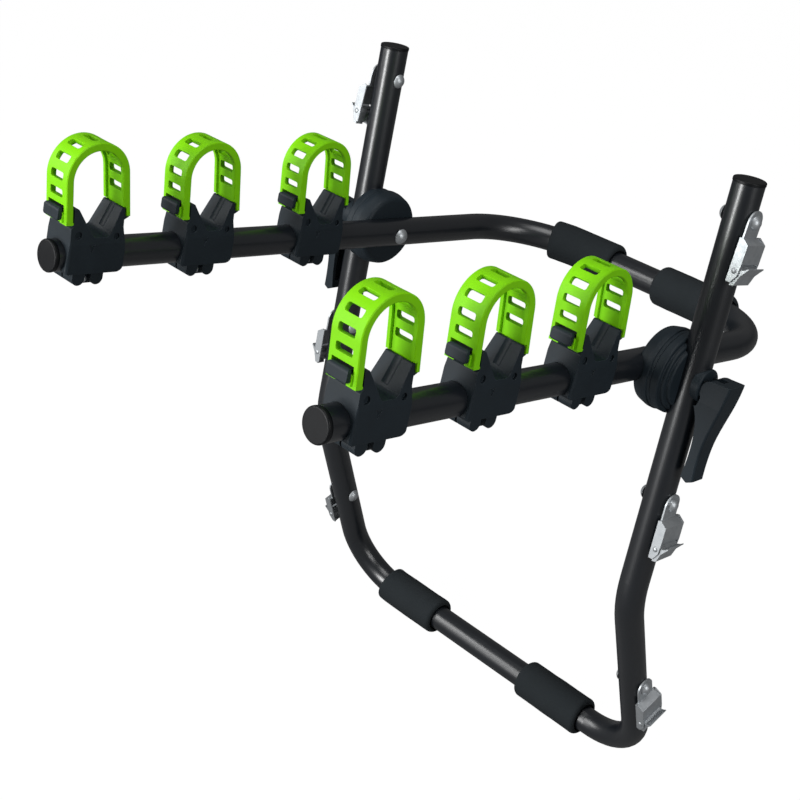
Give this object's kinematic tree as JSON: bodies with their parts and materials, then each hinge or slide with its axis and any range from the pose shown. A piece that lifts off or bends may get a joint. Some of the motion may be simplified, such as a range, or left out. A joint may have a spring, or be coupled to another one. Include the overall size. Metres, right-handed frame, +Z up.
{
  "type": "bicycle carrier",
  "caption": "Rear-mounted bicycle carrier: padded tube frame, folding arms on two clamped hubs, V cradles with ladder straps and cam buckles for webbing.",
  "frame": {"origin": "middle of the lower padded bar, on its axis", "axes": "+X across the vehicle, +Y towards the vehicle, +Z up, arms level as in use"},
  "size_m": [0.516, 0.6266, 0.6978],
  "materials": {
    "powder_coated_steel": "satin",
    "black_plastic": "satin",
    "foam": "matte",
    "strap_rubber": "satin",
    "zinc_steel": "bright zinc"
  },
  "bodies": {
    "rest_frame": {"rest_tube": "powder_coated_steel", "upright_cap_left": "black_plastic", "upright_cap_right": "black_plastic", "lower_pad_left": "foam", "lower_pad_right": "foam", "outer_hub_left": "black_plastic", "outer_hub_right": "black_plastic", "friction_disc_left": "black_plastic", "friction_disc_right": "black_plastic", "lever_seat_left": "black_plastic", "lever_seat_right": "black_plastic", "lever_barrel_left": "zinc_steel", "lever_barrel_right": "zinc_steel", "pivot_bolts": "zinc_steel", "buckle_bolts": "zinc_steel", "buckle_nuts": "zinc_steel"},
    "arm_frame": {"arm_tube": "powder_coated_steel", "arm_plug_left": "black_plastic", "arm_plug_right": "black_plastic", "upper_pad_left": "foam", "upper_pad_right": "foam", "inner_hub_left": "black_plastic", "inner_hub_right": "black_plastic", "clamp_screws": "zinc_steel", "clamp_nuts": "zinc_steel", "cradle_left_1": "black_plastic", "cradle_left_2": "black_plastic", "cradle_left_3": "black_plastic", "cradle_right_1": "black_plastic", "cradle_right_2": "black_plastic", "cradle_right_3": "black_plastic"},
    "lever_left": {"cam_lever_left": "black_plastic"},
    "strap_left_1": {"strap_left_1": "strap_rubber"},
    "strap_left_2": {"strap_left_2": "strap_rubber"},
    "strap_left_3": {"strap_left_3": "strap_rubber"},
    "buckle_left_top": {"buckle_frame_left_top": "zinc_steel", "buckle_pin_left_top": "zinc_steel"},
    "cam_left_top": {"buckle_cam_left_top": "zinc_steel"},
    "buckle_left_middle": {"buckle_frame_left_middle": "zinc_steel", "buckle_pin_left_middle": "zinc_steel"},
    "cam_left_middle": {"buckle_cam_left_middle": "zinc_steel"},
    "buckle_left_low": {"buckle_frame_left_low": "zinc_steel", "buckle_pin_left_low": "zinc_steel"},
    "cam_left_low": {"buckle_cam_left_low": "zinc_steel"},
    "lever_right": {"cam_lever_right": "black_plastic"},
    "strap_right_1": {"strap_right_1": "strap_rubber"},
    "strap_right_2": {"strap_right_2": "strap_rubber"},
    "strap_right_3": {"strap_right_3": "strap_rubber"},
    "buckle_right_top": {"buckle_frame_right_top": "zinc_steel", "buckle_pin_right_top": "zinc_steel"},
    "cam_right_top": {"buckle_cam_right_top": "zinc_steel"},
    "buckle_right_middle": {"buckle_frame_right_middle": "zinc_steel", "buckle_pin_right_middle": "zinc_steel"},
    "cam_right_middle": {"buckle_cam_right_middle": "zinc_steel"},
    "buckle_right_low": {"buckle_frame_right_low": "zinc_steel", "buckle_pin_right_low": "zinc_steel"},
    "cam_right_low": {"buckle_cam_right_low": "zinc_steel"}
  },
  "joints": [
    {"name": "arm_fold", "type": "hinge", "parent": "rest_frame", "child": "arm_frame", "pos_m": [0, 0.01122, 0.46649], "axis": [1, 0, 0], "range_deg": [-88, 92]},
    {"name": "cam_lever_left_turn", "type": "hinge", "parent": "rest_frame", "child": "lever_left", "pos_m": [-0.24185, 0.01122, 0.46649], "axis": [0, 0.9677, -0.2521], "range_deg": [0, 90]},
    {"name": "strap_left_1_open", "type": "hinge", "parent": "arm_frame", "child": "strap_left_1", "pos_m": [-0.171, -0.06279, 0.52973], "axis": [-1, 0, 0], "range_deg": [0, 75], "deforming": ["strap_left_1"]},
    {"name": "strap_left_2_open", "type": "hinge", "parent": "arm_frame", "child": "strap_left_2", "pos_m": [-0.171, -0.19483, 0.56985], "axis": [-1, 0, 0], "range_deg": [0, 75], "deforming": ["strap_left_2"]},
    {"name": "strap_left_3_open", "type": "hinge", "parent": "arm_frame", "child": "strap_left_3", "pos_m": [-0.171, -0.3106, 0.60503], "axis": [-1, 0, 0], "range_deg": [0, 75], "deforming": ["strap_left_3"]},
    {"name": "buckle_left_top_swivel", "type": "hinge", "parent": "rest_frame", "child": "buckle_left_top", "pos_m": [-0.2278, 0.04904, 0.61164], "axis": [-1, 0, 0], "range_deg": [-25, 25]},
    {"name": "cam_left_top_press", "type": "hinge", "parent": "buckle_left_top", "child": "cam_left_top", "pos_m": [-0.2329, 0.03479, 0.57373], "axis": [0, 0.9361, -0.3518], "range_deg": [0, 25], "stiffness_Nm_per_rad": 0.05, "springref_deg": -11.46},
    {"name": "buckle_left_middle_swivel", "type": "hinge", "parent": "rest_frame", "child": "buckle_left_middle", "pos_m": [-0.2278, -0.01877, 0.35133], "axis": [-1, 0, 0], "range_deg": [-25, 25]},
    {"name": "cam_left_middle_press", "type": "hinge", "parent": "buckle_left_middle", "child": "cam_left_middle", "pos_m": [-0.2329, -0.02898, 0.31214], "axis": [0, 0.9677, -0.2521], "range_deg": [0, 25], "stiffness_Nm_per_rad": 0.05, "springref_deg": -11.46},
    {"name": "buckle_left_low_swivel", "type": "hinge", "parent": "rest_frame", "child": "buckle_left_low", "pos_m": [-0.2278, -0.02442, 0.12565], "axis": [-1, 0, 0], "range_deg": [-25, 25]},
    {"name": "cam_left_low_press", "type": "hinge", "parent": "buckle_left_low", "child": "cam_left_low", "pos_m": [-0.2329, -0.0167, 0.08589], "axis": [0, 0.9816, 0.1908], "range_deg": [0, 25], "stiffness_Nm_per_rad": 0.05, "springref_deg": -11.46},
    {"name": "cam_lever_right_turn", "type": "hinge", "parent": "rest_frame", "child": "lever_right", "pos_m": [0.24185, 0.01122, 0.46649], "axis": [0, -0.9677, 0.2521], "range_deg": [0, 90]},
    {"name": "strap_right_1_open", "type": "hinge", "parent": "arm_frame", "child": "strap_right_1", "pos_m": [0.171, -0.05896, 0.52857], "axis": [-1, 0, 0], "range_deg": [0, 75], "deforming": ["strap_right_1"]},
    {"name": "strap_right_2_open", "type": "hinge", "parent": "arm_frame", "child": "strap_right_2", "pos_m": [0.171, -0.18143, 0.56578], "axis": [-1, 0, 0], "range_deg": [0, 75], "deforming": ["strap_right_2"]},
    {"name": "strap_right_3_open", "type": "hinge", "parent": "arm_frame", "child": "strap_right_3", "pos_m": [0.171, -0.30008, 0.60183], "axis": [-1, 0, 0], "range_deg": [0, 75], "deforming": ["strap_right_3"]},
    {"name": "buckle_right_top_swivel", "type": "hinge", "parent": "rest_frame", "child": "buckle_right_top", "pos_m": [0.2278, 0.04904, 0.61164], "axis": [1, 0, 0], "range_deg": [-25, 25]},
    {"name": "cam_right_top_press", "type": "hinge", "parent": "buckle_right_top", "child": "cam_right_top", "pos_m": [0.2329, 0.03479, 0.57373], "axis": [0, -0.9361, 0.3518], "range_deg": [0, 25], "stiffness_Nm_per_rad": 0.05, "springref_deg": -11.46},
    {"name": "buckle_right_middle_swivel", "type": "hinge", "parent": "rest_frame", "child": "buckle_right_middle", "pos_m": [0.2278, -0.01877, 0.35133], "axis": [1, 0, 0], "range_deg": [-25, 25]},
    {"name": "cam_right_middle_press", "type": "hinge", "parent": "buckle_right_middle", "child": "cam_right_middle", "pos_m": [0.2329, -0.02898, 0.31214], "axis": [0, -0.9677, 0.2521], "range_deg": [0, 25], "stiffness_Nm_per_rad": 0.05, "springref_deg": -11.46},
    {"name": "buckle_right_low_swivel", "type": "hinge", "parent": "rest_frame", "child": "buckle_right_low", "pos_m": [0.2278, -0.02442, 0.12565], "axis": [1, 0, 0], "range_deg": [-25, 25]},
    {"name": "cam_right_low_press", "type": "hinge", "parent": "buckle_right_low", "child": "cam_right_low", "pos_m": [0.2329, -0.0167, 0.08589], "axis": [0, -0.9816, -0.1908], "range_deg": [0, 25], "stiffness_Nm_per_rad": 0.05, "springref_deg": -11.46}
  ]
}
